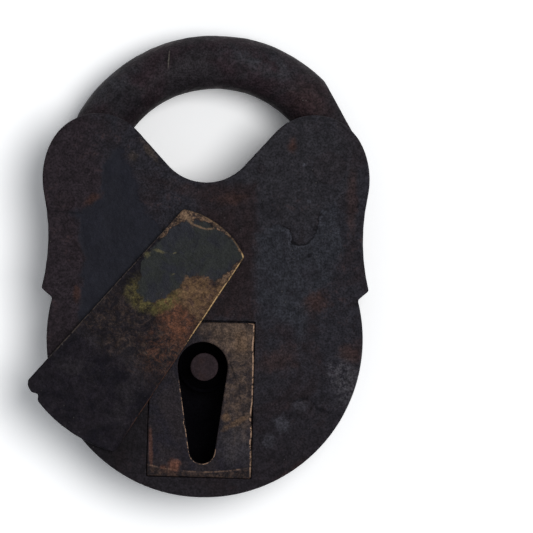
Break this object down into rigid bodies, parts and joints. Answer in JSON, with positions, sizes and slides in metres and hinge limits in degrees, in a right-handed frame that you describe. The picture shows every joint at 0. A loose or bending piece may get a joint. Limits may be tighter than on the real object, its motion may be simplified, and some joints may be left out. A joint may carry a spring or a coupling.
{
  "type": "rusty padlock",
  "caption": "Old heart-shouldered iron padlock with a swinging shackle, a key-thrown bolt inside and a keyhole cover swung aside, lying on its back.",
  "frame": {"origin": "on the back face, on the axis of the drill pin in the keyhole", "axes": "+Z out of the front plate, +Y from the keyhole towards the shackle, +X to the right seen from the front"},
  "size_m": [0.1028, 0.139, 0.0281],
  "materials": {
    "front_iron": "old dark wrought iron, smooth blue-black patina with thin brown rust and pits",
    "back_iron": "old dark wrought iron, browner and rougher than the front",
    "band_iron": "old dark wrought iron with brown rust",
    "shackle_iron": "forged iron bar, near black with brown rust",
    "rivet_iron": "iron rivet heads, flush and worn, slightly browner",
    "pin_iron": "worn brown iron",
    "inner_steel": "grey iron inside the case, light rust",
    "spring_steel": "dull spring steel",
    "escutcheon_brass": "old brass plate, bronze-brown patina, worn bright at the keyhole's edge",
    "cover_brass": "old brass cover, grey-green patina, gold where it is rubbed, copper-brown stains"
  },
  "bodies": {
    "case": {"back_plate": "back_iron", "front_plate": "front_iron", "side_band": "band_iron", "saddle_band": "band_iron", "hinge_pin": "rivet_iron", "drill_pin": "pin_iron", "ward_ring": "inner_steel", "escutcheon": "escutcheon_brass", "cover_rivet": "cover_brass", "spring_post": "inner_steel", "bolt_spring": "spring_steel", "bolt_staple_left": "inner_steel", "bolt_staple_right": "inner_steel", "waist_rivet_left": "rivet_iron", "waist_rivet_right": "rivet_iron", "foot_rivet_left": "rivet_iron", "foot_rivet_right": "rivet_iron", "saddle_pin_left": "rivet_iron", "saddle_pin_right": "rivet_iron"},
    "shackle": {"shackle": "shackle_iron"},
    "bolt": {"bolt": "inner_steel"},
    "cover": {"keyhole_cover": "cover_brass"}
  },
  "joints": [
    {"name": "shackle_swing", "type": "hinge", "parent": "case", "child": "shackle", "pos_m": [0.037, 0.06, 0.01275], "axis": [0, 0, 1], "range_deg": [-74, 0]},
    {"name": "bolt_throw", "type": "slide", "parent": "case", "child": "bolt", "axis": [-1, 0, 0], "range_m": [0, 0.007], "deforming": ["bolt_spring"]},
    {"name": "cover_swing", "type": "hinge", "parent": "case", "child": "cover", "pos_m": [0, 0.0354, 0.02715], "axis": [0, 0, 1], "continuous": true}
  ]
}
